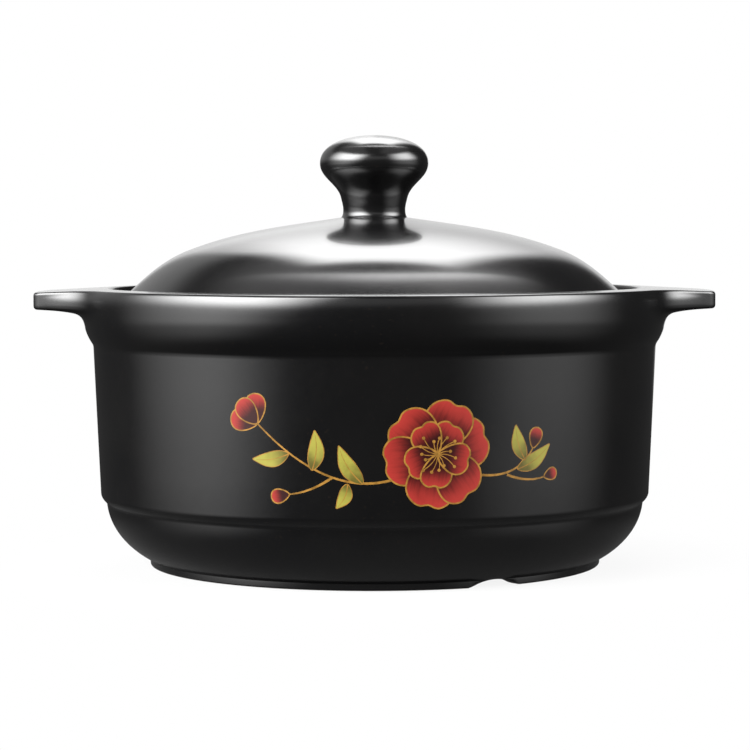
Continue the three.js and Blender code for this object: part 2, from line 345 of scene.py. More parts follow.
def pot_places(pot):
    """Radii, heights and points that several stretches of the pot share."""
    p = SimpleNamespace()
    p.rim = pot.rim_diameter / 2
    p.collar_bottom = pot.height - pot.collar_height
    p.collar_widest = pot.height - pot.collar_widest_drop
    collar_foot = p.rim - pot.collar_overhang
    p.wall_top = at(collar_foot - pot.collar_toe_inset, p.collar_bottom - pot.collar_toe_height)
    p.wall_bottom = at(p.wall_top.x - pot.wall_taper, pot.step_height)
    p.bowl_top = at(p.wall_bottom.x - pot.step_inset, pot.step_height - pot.step_drop)
    p.foot = p.bowl_top.x - pot.foot_inset
    p.foot_inner = p.foot - pot.foot_width
    p.floor = pot.foot_recess + pot.base
    p.lip = p.rim - pot.lip_width
    p.seat = pot.height - pot.seat_depth
    p.seat_inner = p.lip - pot.seat_width
    p.rim_top = pot.height - pot.rim_fall
    p.rim_edge = p.rim_top - pot.rim_round
    edge = collar_point(pot, p, p.rim_edge)
    p.rim_corner = at(edge.x - collar_lean(pot, p, p.rim_edge) * pot.rim_round, p.rim_top)
    p.land = towards(p.rim_corner, pot.rim_round, IN)
    p.land_end = at(p.lip + pot.rim_round, pot.height)
    p.ear_end = p.land.lerp(p.land_end, EAR_LAND_SHARE)
    return p


def from_widest(p, height):
    """How far a height is from the collar's widest place, where 1 is as far as its lower edge."""
    return abs(height - p.collar_widest) / (p.collar_widest - p.collar_bottom)


def collar_point(pot, p, height):
    """The point of the collar's round face at a height."""
    return at(p.rim - pot.collar_overhang * from_widest(p, height) ** pot.collar_fullness, height)


def collar_lean(pot, p, height):
    """How far the collar's round face turns in for each step away from its widest place, at a height."""
    steepest = pot.collar_fullness * pot.collar_overhang / (p.collar_widest - p.collar_bottom)
    return steepest * from_widest(p, height) ** (pot.collar_fullness - 1)


def wall_radius(p, height):
    """Radius of the outer wall at a height."""
    return mix(p.wall_bottom.x, p.wall_top.x, (height - p.wall_bottom.z) / (p.wall_top.z - p.wall_bottom.z))


def foot_to_collar(pot, p):
    """Outside of the pot, from the axis under the base over the foot and the wall to the collar's toe."""
    lean = math.atan2(p.wall_top.z - p.wall_bottom.z, pot.wall_taper)
    collar_turn = math.atan2(1, collar_lean(pot, p, p.collar_bottom))
    return joined(
        run(at(0, pot.foot_recess), at(p.foot_inner - pot.foot_round, pot.foot_recess), 4),
        corner(at(p.foot_inner, pot.foot_recess), pot.foot_round, IN, DOWN),
        corner(at(p.foot_inner, 0), pot.foot_round, UP, OUT),
        run(at(p.foot_inner + pot.foot_round, 0), at(p.foot - pot.foot_round, 0), 3),
        corner(at(p.foot, 0), pot.foot_round, IN, UP),
        bend(at(p.foot, pot.foot_toe), pot.foot_angle, p.bowl_top, pot.bowl_angle, 24),
        softened(p.bowl_top, at(p.wall_bottom.x, pot.step_height - pot.step_drop / 2), p.wall_bottom, 8),
        run(p.wall_bottom, p.wall_top, 5),
        bend(p.wall_top, lean, collar_point(pot, p, p.collar_bottom), collar_turn, 6),
    )


def rim_to_floor(pot, p):
    """Inside of the pot, from the land of the rim over the lid seat and down to the axis."""
    flare_top = at(p.seat_inner, p.seat - pot.seat_round)
    lean = pot.wall_taper / (p.wall_top.z - p.wall_bottom.z)

    def inner(height):
        return at(p.wall_bottom.x - pot.wall + lean * (height - pot.step_height), height)

    flare_bottom = inner(flare_top.z - pot.seat_flare)
    round_top = inner(p.floor + pot.floor_round_rise)
    round_end = at(round_top.x - pot.floor_round, p.floor)
    return joined(
        run(p.ear_end, p.land_end, 3),
        corner(at(p.lip, pot.height), pot.rim_round, OUT, DOWN),
        run(at(p.lip, p.rim_edge), at(p.lip, p.seat + pot.seat_hollow), 3),
        corner(at(p.lip, p.seat), pot.seat_hollow, UP, IN),
        run(at(p.lip - pot.seat_hollow, p.seat), at(p.seat_inner + pot.seat_round, p.seat), 5),
        corner(at(p.seat_inner, p.seat), pot.seat_round, OUT, DOWN),
        bend(flare_top, DOWN, flare_bottom, DOWN, 8),
        run(flare_bottom, round_top, 4),
        bend(round_top, DOWN, round_end, IN, 12),
        run(round_end, at(0, p.floor), 4),
    )


def ear_stations(pot, ear, p):
    """Points on the collar, each with the point of a full ear that it is pulled out to and how much
    narrower the ear is there, going up."""
    ear_top = pot.height - ear.drop
    tip = p.rim + ear.reach
    tip_top = ear_top - ear.fall
    tip_bottom = tip_top - ear.tip_thickness
    root_bottom = ear_top - ear.root_thickness
    flank_bottom = ear_top - ear.flank_drop
    hollow_bottom = root_bottom - ear.fillet
    root = collar_point(pot, p, root_bottom)
    hollow = softened(collar_point(pot, p, hollow_bottom), root, towards(root, ear.fillet, OUT), 12)
    under = run(hollow[-1], at(tip - ear.edge_round, tip_bottom), 8)
    lower = corner(at(tip, tip_bottom), ear.edge_round, IN, UP, 6)
    face = run(lower[-1], at(tip, tip_top - ear.edge_round), 6)
    upper = corner(at(tip, tip_top), ear.edge_round, DOWN, IN, 8)
    top = run(upper[-1], p.ear_end, 14)
    hollow_top = mix(flank_bottom, hollow_bottom, 0.25)
    corner_top = mix(flank_bottom, p.rim_edge, ear.edge_round / ear.tip_thickness)
    marks = [hollow_bottom, hollow_top, flank_bottom, corner_top, p.rim_edge]
    stations = [(hollow[0].copy(), hollow[0], ear.flank_round)]
    for stretch, low, high in zip((hollow, under, lower, face), marks, marks[1:]):
        for step, point in enumerate(stretch[1:], 1):
            home = collar_point(pot, p, mix(low, high, step / (len(stretch) - 1)))
            stations.append((home, point, ear.flank_round * bulge(home.z, flank_bottom, p.rim_edge)))
    rim = softened(collar_point(pot, p, p.rim_edge), p.rim_corner, p.land, 8)
    land = run(p.land, p.ear_end, 14)
    homes = joined(rim, land)[1:]
    stations.extend((home, point, ear.flank_round) for home, point in zip(homes, joined(upper, top)[1:]))
    return stations


# Meshes


def spun(section, steps):
    """A mesh of a section turned about +Z."""
    bm = bmesh.new()
    verts = [bm.verts.new(point) for point in section]
    edges = [bm.edges.new(pair) for pair in zip(verts, verts[1:])]
    turn_mesh(bm, verts + edges, steps)
    return bm


def turn_mesh(bm, geom, steps):
    """Turns a wire section a quarter round and mirrors it into a closed mesh that faces outwards."""
    bmesh.ops.spin(bm, geom=geom, axis=(0, 0, 1), cent=(0, 0, 0), angle=math.pi / 2, steps=steps // 4)
    for axis in ("X", "Y"):
        half = bm.verts[:] + bm.edges[:] + bm.faces[:]
        bmesh.ops.mirror(bm, geom=half, axis=axis, merge_dist=MERGE)
    bmesh.ops.remove_doubles(bm, verts=bm.verts, dist=MERGE)
    bmesh.ops.recalc_face_normals(bm, faces=bm.faces)


def make_piece(bm, name, finish, body, replaced=()):
    """Makes a closed mesh a piece that rides on a body and stands for CAD nodes."""
    if any(len(edge.link_faces) != 2 for edge in bm.edges):
        raise RuntimeError(name + " is not closed")
    for face in bm.faces:
        face.smooth = True
    for edge in bm.edges:
        edge.smooth = edge.calc_face_angle() < SHARP_ANGLE
    mesh = bpy.data.meshes.new(name)
    bm.to_mesh(mesh)
    bm.free()
    mesh.materials.append(finish)
    piece = bpy.data.objects.new(name, mesh)
    bpy.context.scene.collection.objects.link(piece)
    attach(piece, body)
    if replaced:
        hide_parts(*replaced)


def pot_mesh(pot, ear):
    """The pot with its ears drawn out of the collar and its foot notched."""
    p = pot_places(pot)
    stations = ear_stations(pot, ear, p)
    hollow_bottom = stations[0][0].z
    outside = foot_to_collar(pot, p)
    collar_steps = 8
    for step in range(1, collar_steps):
        outside.append(collar_point(pot, p, mix(p.collar_bottom, hollow_bottom, step / collar_steps)))
    inside = rim_to_floor(pot, p)[1:]
    bm = bmesh.new()
    full = bm.verts.layers.float_vector.new("full_ear")
    narrowed = bm.verts.layers.float.new("narrowed")
    verts = []
    for home, pulled, slim in [(q, q, 0) for q in outside] + stations + [(q, q, 0) for q in inside]:
        vert = bm.verts.new(home)
        vert[full] = pulled
        vert[narrowed] = slim
        verts.append(vert)
    edges = [bm.edges.new(pair) for pair in zip(verts, verts[1:])]
    turn_mesh(bm, verts + edges, POT_STEPS)
    for vert in bm.verts:
        draw_ear(vert, vert[full], vert[narrowed], ear)
        cut_notch(vert, pot, p)
    bm.verts.layers.float_vector.remove(full)
    bm.verts.layers.float.remove(bm.verts.layers.float["narrowed"])
    return bm


def draw_ear(vert, pulled, slim, ear):
    """Pulls a vertex of the collar out to the ear by its angle from the X axis."""
    radius = math.hypot(vert.co.x, vert.co.y)
    if radius < MERGE:
        return
    offset = math.atan2(abs(vert.co.y), abs(vert.co.x))
    beyond_tip = max(offset - ear.tip_angle, 0.0) / (ear.root_angle - slim - ear.tip_angle)
    amount = 1 - ease(beyond_tip ** (1 / ear.flank_sweep))
    grown = mix(radius, pulled.x, amount) / radius
    vert.co = Vector((vert.co.x * grown, vert.co.y * grown, mix(vert.co.z, pulled.z, amount)))


def cut_notch(vert, pot, p):
    """Lifts a vertex of the foot ring to the arch of a notch."""
    radius = math.hypot(vert.co.x, vert.co.y)
    if vert.co.z >= pot.notch_height or radius < p.foot_inner - pot.foot_round:
        return
    half = pot.notch_width / 2
    arch = (half**2 + pot.notch_height**2) / (2 * pot.notch_height)
    for turn in NOTCH_ANGLES:
        ahead = vert.co.x * math.cos(turn) + vert.co.y * math.sin(turn)
        aside = vert.co.y * math.cos(turn) - vert.co.x * math.sin(turn)
        if ahead > 0 and abs(aside) < half:
            lift = pot.notch_height - arch + math.sqrt(arch**2 - aside**2)
            vert.co.z = max(vert.co.z, lift)


def lid_mesh(lid, knob):
    """The lid: a domed shell whose edge sits inside the rim."""
    radius = lid.diameter / 2
    seat = LID_LOW.z
    crown = LID_HIGH.z
    edge_top = seat + lid.edge_height
    edge = at(radius - lid.edge_round, edge_top)
    dome_foot = at(radius - lid.brim_inset, edge_top)
    brim = towards(dome_foot, lid.brim_hollow, IN - lid.brim_angle)
    shoulder = at(radius - lid.shoulder_inset, crown - lid.shoulder_drop)
    top = at(knob.neck_diameter / 2 + CROWN_FLAT, crown)
    outer = joined(
        softened(towards(dome_foot, lid.brim_hollow, OUT), dome_foot, brim, 6),
        bend(brim, IN - lid.brim_angle, shoulder, IN - lid.shoulder_angle, 26),
        bend(shoulder, IN - lid.shoulder_angle, top, IN - lid.crown_angle, 24),
    )
    inner = []
    for before, here, after in zip(outer, outer[1:], outer[2:]):
        along = (after - before).normalized()
        moved = here + lid.thickness * at(-along.z, along.x)
        if moved.z > seat + lid.edge_round:
            inner.append(moved)
    slope = (inner[0].x - inner[1].x) / (inner[1].z - inner[0].z)
    toe = at(inner[0].x + slope * (inner[0].z - seat), seat)
    section = joined(
        run(at(0, crown - lid.thickness), inner[-1], 4),
        inner[::-1],
        run(inner[0], toe, 4),
        run(toe, at(radius - lid.edge_round, seat), 5),
        corner(at(radius, seat), lid.edge_round, IN, UP),
        softened(at(radius, edge_top - lid.edge_round), at(radius, edge_top - lid.edge_round / 2), edge, 6),
        outer,
        run(top, at(0, crown), 4),
    )
    return spun(section, LID_STEPS)


def knob_mesh(knob):
    """The knob: a short neck that flares into a rounded head, with a fillet of glaze at its foot."""
    neck = knob.neck_diameter / 2
    foot = LID_HIGH.z - knob.fillet / 4
    top = KNOB_HIGH.z
    neck_foot = at(neck, foot + 2 * knob.fillet)
    neck_top = at(neck + knob.neck_swell, KNOB_LOW.z + knob.neck_height)
    widest = at(knob.diameter / 2, top - knob.cap_height)
    section = joined(
        run(at(0, foot), at(neck + knob.fillet, foot), 4),
        softened(at(neck + knob.fillet, foot), at(neck, foot + knob.fillet / 4), neck_foot, 8),
        bend(neck_foot, UP, neck_top, knob.flare_angle, 10),
        bend(neck_top, knob.flare_angle, widest, UP, 20),
        bend(widest, UP, at(0, top), IN, 28),
    )
    return spun(section, KNOB_STEPS)


# Print


class PrintSheet:
    """A mesh of thin films laid on the front wall, each placed along the wall and by height."""

    def __init__(self, pot):
        self.places = pot_places(pot)
        self.bm = bmesh.new()
        self.bm.loops.layers.uv.new("UVMap")
        self.mean = wall_radius(self.places, pot.height / 2)

    def film(self, across, along, place, lift):
        """Adds a grid whose corners at -1 and 1 are placed on the wall at a lift above the glaze."""
        grid = bmesh.ops.create_grid(self.bm, x_segments=across, y_segments=along, size=1, calc_uvs=True)
        for vert in grid["verts"]:
            sideways, height = place(vert.co.x, vert.co.y)
            turn = sideways / self.mean - math.pi / 2
            radius = wall_radius(self.places, height) + lift
            vert.co = Vector((radius * math.cos(turn), radius * math.sin(turn), height))

    def line(self, path, width, lift, steps):
        """Adds a line along a path of 0 to 1, as wide as a function of the same share says."""

        def place(across, along):
            amount = (along + 1) / 2
            nearby = 0.01
            ahead = path(min(amount + nearby, 1))
            behind = path(max(amount - nearby, 0))
            normal = (ahead - behind).orthogonal().normalized()
            return path(amount) + normal * (across * width(amount) / 2)

        self.film(1, steps, place, lift)

    def piece(self, name, finish, look):
        """Gives the films their depth and makes them one piece on the pot."""
        bmesh.ops.recalc_face_normals(self.bm, faces=self.bm.faces)
        bmesh.ops.solidify(self.bm, geom=self.bm.faces[:], thickness=look.film)
        make_piece(self.bm, name, finish, "pot")


def on_disc(place):
    """A place function for a square grid, from one for a round disc."""

    def square(across, along):
        return place(across * math.sqrt(1 - along * along / 2), along * math.sqrt(1 - across * across / 2))

    return square


def round_petal(middle, turn, size, width, curl=0.0, notch=0.0):
    """A disc drawn into a broad petal that grows from a middle towards a turn, with a notched tip."""

    def place(sideways, outwards):
        reach = (1 + outwards) / 2
        dip = notch * math.exp(-((sideways / 0.22) ** 2)) * max(outwards, 0.0) ** 3
        way = turn + curl * reach
        forward = Vector((math.cos(way), math.sin(way)))
        spread = width * sideways * mix(0.42, 1.0, reach**0.8)
        return middle + forward * size * (reach - dip) + forward.orthogonal() * spread

    return place


def petal_edge(place):
    """The outline of a petal as a path of 0 to 1."""

    gap = 0.06

    def path(amount):
        turn = mix(gap, 2 * math.pi - gap, amount)
        return place(math.sin(turn), -math.cos(turn))

    return path


def round_dot(middle, radius):
    """A small disc."""

    def place(sideways, outwards):
        return middle + Vector((sideways, outwards)) * radius

    return place


def sweep(*points):
    """A path of 0 to 1 along a curve with four control points."""
    a, b, c, d = (Vector(point) * MM for point in points)

    def path(amount):
        rest = 1 - amount
        return a * rest**3 + b * 3 * amount * rest**2 + c * 3 * amount**2 * rest + d * amount**3

    return path


def slim_leaf(foot, tip, width, bow):
    """A place function for a pointed leaf from its foot to its tip, bowed to one side."""
    stem = tip - foot
    side = stem.orthogonal().normalized()

    def place(across, along):
        amount = (along + 1) / 2
        belly = math.sin(math.pi * amount**0.8) ** 0.9 if 0 < amount < 1 else 0.0
        aside = across * width * (0.03 + belly) + bow * math.sin(math.pi * amount)
        return foot + stem * amount + side * aside

    return place


def even(width):
    """A line of one width."""
    return lambda amount: width


def tapering(first, last):
    """A line that runs from one width to another."""
    return lambda amount: mix(first, last, amount)


def outlined_petal(petals, lines, place, lift, width):
    """A petal with its outline."""
    petals.film(16, 16, on_disc(place), lift)
    lines.line(petal_edge(place), even(width), lift + LINE_STEP, 72)


def veined_leaf(leaves, lines, place, lift, width):
    """A leaf with its midrib and its outline."""
    leaves.film(6, 16, place, lift)
    rib = tapering(width, 0.3 * width)
    lines.line(lambda amount: place(0, mix(-1, 0.8, amount)), rib, lift + LINE_STEP, 16)
    for side in (-1, 1):
        lines.line(lambda amount: place(side, mix(-1, 1, amount)), even(0.7 * width), lift + LINE_STEP, 24)


def blossom(petals, lines, look):
    """A round blossom with two rings of petals and a tuft of stamens."""
    middle = Vector((look.flower_along, look.flower_height))
    size = look.petal_length
    lift = BLOSSOM_LIFT
    rings = ((6, 1.0, 0.56, 0.25), (5, 0.62, 0.36, 0.95))
    for count, reach, width, start in rings:
        for index in range(count):
            turn = start + 2 * math.pi * index / count
            curl = 0.10 * (-1) ** index
            place = round_petal(middle, turn, size * reach, size * width, curl, 0.07)
            outlined_petal(petals, lines, place, lift, look.line_width)
            lift += PETAL_STEP
    stamens = 15
    for index in range(stamens):
        turn = 0.2 + 2 * math.pi * index / stamens
        reach = size * (0.24 + 0.05 * ((index * 7) % 4))
        way = Vector((math.cos(turn), math.sin(turn)))
        tip = middle + way * reach
        bow = way.orthogonal() * reach * 0.08

        def stamen(amount, tip=tip, bow=bow):
            return middle.lerp(tip, amount) + bow * math.sin(math.pi * amount)

        lines.line(stamen, even(0.28 * MM), lift, 8)
        lines.film(4, 4, on_disc(round_dot(tip, 0.55 * MM)), lift + DOT_STEP)


def spray(petals, leaves, lines, look):
    """Stems with leaves, buds and a half-open flower on both sides of the blossom."""
    width = look.line_width
    stems = (
        ((14, 43), (-4, 33), (-22, 40), (-40, 58)),
        ((-14, 40.5), (-19, 37), (-24, 35), (-29, 34.5)),
        ((30, 42), (44, 38), (52, 42), (56, 49)),
        ((46, 40.4), (52, 38), (57, 38), (61, 39)),
    )
    for stem in stems:
        lines.line(sweep(*stem), tapering(1.6 * width, 0.9 * width), STEM_LIFT, 48)
    blades = (
        ((-4, 38.2), (-12, 51), 2.7, 1.2),
        ((-21, 42.6), (-20, 56), 2.6, -1.0),
        ((-29, 48.0), (-42, 46), 2.5, 1.0),
        ((-9, 38.2), (-13, 30.0), 2.2, 1.0),
        ((50, 42.0), (63, 50), 2.6, -1.2),
        ((53, 45.0), (49, 57), 2.5, 0.9),
    )
    for foot, tip, half, bow in blades:
        place = slim_leaf(Vector(foot) * MM, Vector(tip) * MM, half * MM, bow * MM)
        veined_leaf(leaves, lines, place, LEAF_LIFT, 0.7 * width)
    buds = (
        ((-40, 58), 10.0, 4.6, (170, 95, 132)),
        ((-29, 34.5), 6.5, 3.0, (190,)),
        ((56, 49), 7.0, 3.2, (75,)),
        ((61, 39), 5.5, 2.6, (15,)),
    )
    for foot, size, half, turns in buds:
        for index, turn in enumerate(turns):
            place = round_petal(Vector(foot) * MM, math.radians(turn), size * MM, half * MM)
            outlined_petal(petals, lines, place, BUD_LIFT + PETAL_STEP * index, 0.8 * width)


# Shaders


class Value:
    """A shader socket whose arithmetic adds Math nodes."""

    def __init__(self, shader, socket):
        self.shader = shader
        self.socket = socket

    def math(self, operation, *values):
        return self.shader.add("ShaderNodeMath", {"operation": operation}, dict(enumerate(values)))

    def output(self, name):
        return Value(self.shader, self.socket.node.outputs[name])

    def __add__(self, other):
        return self.math("ADD", self, other)

    def __radd__(self, other):
        return self.math("ADD", other, self)

    def __sub__(self, other):
        return self.math("SUBTRACT", self, other)

    def __rsub__(self, other):
        return self.math("SUBTRACT", other, self)

    def __mul__(self, other):
        return self.math("MULTIPLY", self, other)

    def __rmul__(self, other):
        return self.math("MULTIPLY", other, self)

    def __pow__(self, other):
        return self.math("POWER", self, other)

    def __abs__(self):
        return self.math("ABSOLUTE", self)


class Shader:
    """A node tree that is filled from expressions."""

    def __init__(self, tree):
        self.tree = tree
        tree.nodes.clear()

    def add(self, kind, settings=None, inputs=None, output=0):
        """Adds a node with its settings, then its values or links, and returns one of its outputs."""
        node = self.tree.nodes.new(kind)
        for name, value in (settings or {}).items():
            setattr(node, name, value)
        for name, value in (inputs or {}).items():
            if isinstance(value, Value):
                self.tree.links.new(value.socket, node.inputs[name])
            else:
                node.inputs[name].default_value = value
        return Value(self, node.outputs[output]) if node.outputs else None

    def parts(self, vector):
        """The three numbers of a vector."""
        split = self.add("ShaderNodeSeparateXYZ", None, {"Vector": vector})
        return split, split.output("Y"), split.output("Z")

    def rise(self, value, low, high):
        """A smooth rise from 0 at low to 1 at high, or a fall where low is above high."""
        return self.add(
            "ShaderNodeMapRange",
            {"interpolation_type": "SMOOTHSTEP"},
            {"Value": value, "From Min": low, "From Max": high},
        )

    def noise(self, place, scale, detail=2.0):
        """Cloudy noise with so many clouds to the metre."""
        return self.add("ShaderNodeTexNoise", None, {"Vector": place, "Scale": scale, "Detail": detail})

    def blend(self, amount, first, second):
        """A colour between two others."""
        return self.add("ShaderNodeMix", {"data_type": "RGBA"}, {0: amount, 6: first, 7: second}, 2)

    def surface(self, **sockets):
        """Ends a material in a Principled shader."""
        inputs = {}
        for name, value in sockets.items():
            inputs[name.replace("_", " ").title().replace("Ior", "IOR")] = value
        shader = self.add("ShaderNodeBsdfPrincipled", None, inputs)
        self.add("ShaderNodeOutputMaterial", None, {"Surface": shader})


def new_shader(name):
    """A new material and its empty shader."""
    finish = bpy.data.materials.new(name)
    finish.use_nodes = True
    return finish, Shader(finish.node_tree)


def rgba(tint):
    """A colour with full alpha."""
    return (*tint, 1.0)


def glaze_finish(name, look, bare):
    """Black glaze with bare clay where a function of radius and height says so."""
    finish, shader = new_shader(name)
    place = shader.add("ShaderNodeTexCoord", output="Object")
    x, y, z = shader.parts(place)
    radius = (x * x + y * y) ** 0.5
    drift = shader.noise(place, 22.0, 3.0)
    grain = shader.noise(place, 380.0, 2.0)
    specks = shader.rise(shader.noise(place, 900.0, 1.0), 0.70, 0.76)
    clay = bare(shader, radius, z)
    black = shader.blend(shader.rise(drift, 0.3, 0.7), rgba(look.glaze), rgba(look.bloom))
    black = shader.blend(specks * 0.2, black, rgba(look.speck))
    sand = shader.noise(place, 700.0, 4.0)
    stone = shader.blend(sand, rgba([tint * 0.55 for tint in look.clay]), rgba(look.clay))
    gloss = look.roughness + 0.06 * (drift - 0.5) + 0.05 * (grain - 0.5)
    roughness = gloss + clay * (0.9 - gloss)
    relief = 0.55 * drift + 0.10 * grain + clay * sand
    bump = shader.add("ShaderNodeBump", None, {"Strength": 0.12, "Distance": 0.0004, "Height": relief})
    shader.surface(
        base_color=shader.blend(clay, black, stone),
        roughness=roughness,
        ior=1.6,
        coat_weight=0.35 * (1 - clay),
        coat_roughness=0.06,
        coat_ior=1.5,
        normal=bump,
    )
    return finish


def pot_bare_clay(pot):
    """Bare clay on the foot ring's resting face and on the lid seat."""
    p = pot_places(pot)

    def bare(shader, radius, z):
        foot = shader.rise(z, 0.15 * MM, 0.05 * MM)
        near = shader.rise(abs(z - p.seat), 0.7 * MM, 0.4 * MM)
        ring = shader.rise(radius, p.seat_inner + 0.4 * MM, p.seat_inner + 1.0 * MM)
        inside = shader.rise(radius, p.lip, p.lip - 0.6 * MM)
        return foot + near * ring * inside

    return bare


def lid_bare_clay(shader, radius, z):
    """Bare clay on the ring that the lid rests on."""
    return shader.rise(z, LID_LOW.z + 0.6 * MM, LID_LOW.z + 0.3 * MM)


def no_bare_clay(shader, radius, z):
    """No bare clay."""
    return 0.0 * z


def petal_finish(look):
    """Red print, dark at the base of each petal and finely streaked towards the tip."""
    finish, shader = new_shader("print_petal_red")
    spread = shader.add("ShaderNodeTexCoord", output="UV")
    u, v, _ = shader.parts(spread)
    object_place = shader.add("ShaderNodeTexCoord", output="Object")
    stretched = shader.add("ShaderNodeCombineXYZ", None, {"X": u * 26.0, "Y": v * 2.2})
    streaks = shader.noise(stretched, 1.0, 3.0)
    cloud = shader.noise(object_place, 160.0, 2.0)
    amount = shader.rise(v + 0.26 * (streaks - 0.5) + 0.20 * (cloud - 0.5), 0.36, 1.04)
    red = shader.blend(amount, rgba(look.petal_base), rgba(look.petal_tip))
    shader.surface(base_color=red, roughness=0.28 + 0.1 * cloud, ior=1.5)
    return finish


def leaf_finish(look):
    """Yellow-green print, darker at the foot of each leaf."""
    finish, shader = new_shader("print_leaf_green")
    _, v, _ = shader.parts(shader.add("ShaderNodeTexCoord", output="UV"))
    cloud = shader.noise(shader.add("ShaderNodeTexCoord", output="Object"), 300.0, 2.0)
    amount = shader.rise(v + 0.5 * (cloud - 0.5), 0.0, 0.7)
    green = shader.blend(amount, rgba(look.leaf_shade), rgba(look.leaf))
    shader.surface(base_color=green, roughness=0.3 + 0.1 * cloud, ior=1.5)
    return finish


def gold_finish(look):
    """Gold-coloured print for outlines and stems, a little uneven as ink is."""
    finish, shader = new_shader("print_gold")
    cloud = shader.noise(shader.add("ShaderNodeTexCoord", output="Object"), 420.0, 3.0)
    dull = rgba([tint * 0.55 for tint in look.gold])
    gold = shader.blend(shader.rise(cloud, 0.3, 0.65), dull, rgba(look.gold))
    shader.surface(base_color=gold, roughness=0.26 + 0.15 * cloud, ior=1.5)
    return finish


# Stage

# Edges of the lamp panels in degrees, round from the front or above the horizon, each from where the
# panel begins to where it is full
LEFT_OUTER = (-120, -63)
LEFT_INNER = (-26, -64)
LEFT_FOOT = (5, 21)
RIGHT_INNER = (28, 68)
RIGHT_OUTER = (114, 76)
RIGHT_FOOT = (7, 21)
SIDES_TOP = (50, 36)
WASH_FAINT = (-40, -14)
WASH_FULL = (-11, -3)
FRONT_FOOT = (10, 22)
FRONT_TOP = (40, 28)
FRONT_RIGHT = (60, 40)
OVERHEAD_FOOT = (40, 60)
BACKDROP_FOOT = (-5, 0)
BACKDROP_TOP = (66, 58)
BACK_PANEL_FOOT = (17, 57)
MIRRORED_TOP = (14, 8)

# Edges that follow the X, Y or Z of a direction
OVERHEAD_SIDES = (0.1, 0.3)
BACKDROP_SIDES = (0.28, 0.14)
BACKDROP_FRONT = (0.1, 0.3)
STRIP_BACK = (0.255, 0.205)
STRIP_FRONT = (0.09, 0.19)
STRIP_FOOT = (0.4, 0.6)
STRIP_LEFT = (-0.5, 0.1)
STRIP_RIGHT = (0.52, 0.25)

# How panels slant, bow and stand off the middle, and the faint share of the wash
LEFT_SLANT = 0.5
FRONT_SLANT = 0.08
STRIP_BOW = 1.25
BACKDROP_MIDDLE = 0.03
FAINT_SHARE = 0.3

# Floor and camera
FLOOR_RADIUS = 0.42
FLOOR_DROP = 0.1 * MM
FLOOR_CLEAR = 0.88
SHADOW_EDGE = (0.07, 0.16)
SENSOR_WIDTH = 36


def studio_light(look):
    """A world with a white backdrop, a softbox on each side, a strip overhead and a dim front."""
    world = bpy.data.worlds.new("studio")
    world.use_nodes = True
    bpy.context.scene.world = world
    shader = Shader(world.node_tree)
    x, y, z = shader.parts(shader.add("ShaderNodeTexCoord", output="Generated"))
    around = x.math("ARCTAN2", x, -1 * y)
    above = z.math("ARCSINE", z)

    def over(turn, edge):
        return shader.rise(turn, *map(math.radians, edge))

    wash = FAINT_SHARE * over(above, WASH_FAINT) + (1 - FAINT_SHARE) * over(above, WASH_FULL)
    left = over(around, LEFT_OUTER) * over(around - LEFT_SLANT * above, LEFT_INNER)
    left = left * (look.left_panel * over(above, LEFT_FOOT) + look.left_wash * wash)
    right = over(around, RIGHT_INNER) * over(around, RIGHT_OUTER)
    right = right * (look.right_panel * over(above, RIGHT_FOOT) + look.right_wash * wash)
    sides = (left + right) * over(above, SIDES_TOP)
    front = over(above - FRONT_SLANT * around, FRONT_FOOT) * over(above, FRONT_TOP)
    front = front * over(around, FRONT_RIGHT)
    overhead = over(above, OVERHEAD_FOOT) * shader.rise(abs(x), *OVERHEAD_SIDES)
    backdrop = shader.rise(abs(x - BACKDROP_MIDDLE), *BACKDROP_SIDES) * shader.rise(y, *BACKDROP_FRONT)
    backdrop = backdrop * over(above, BACKDROP_FOOT)
    glow = look.backdrop + look.back_panel * over(above, BACK_PANEL_FOOT)
    glow = glow * over(above, BACKDROP_TOP)
    bow = y - STRIP_BOW * x * x
    strip = shader.rise(bow, *STRIP_BACK) * shader.rise(bow, *STRIP_FRONT) * shader.rise(z, *STRIP_FOOT)
    strip = strip * shader.rise(x, *STRIP_LEFT) * shader.rise(x, *STRIP_RIGHT)
    lamps = look.ambient + look.fill * (front + overhead) + sides
    lamps = lamps + look.top_panel * strip + backdrop * glow
    rays = shader.add("ShaderNodeLightPath", output="Is Camera Ray")
    mirrored = backdrop * over(above, MIRRORED_TOP) * rays.output("Is Glossy Ray")
    white = shader.rise(rays + rays.output("Is Transmission Ray") + mirrored, 0.0, 1.0)
    level = lamps + white * (look.backdrop - lamps)
    light = shader.add("ShaderNodeBackground", None, {"Color": (1, 1, 1, 1), "Strength": level})
    shader.add("ShaderNodeOutputWorld", None, {"Surface": light})


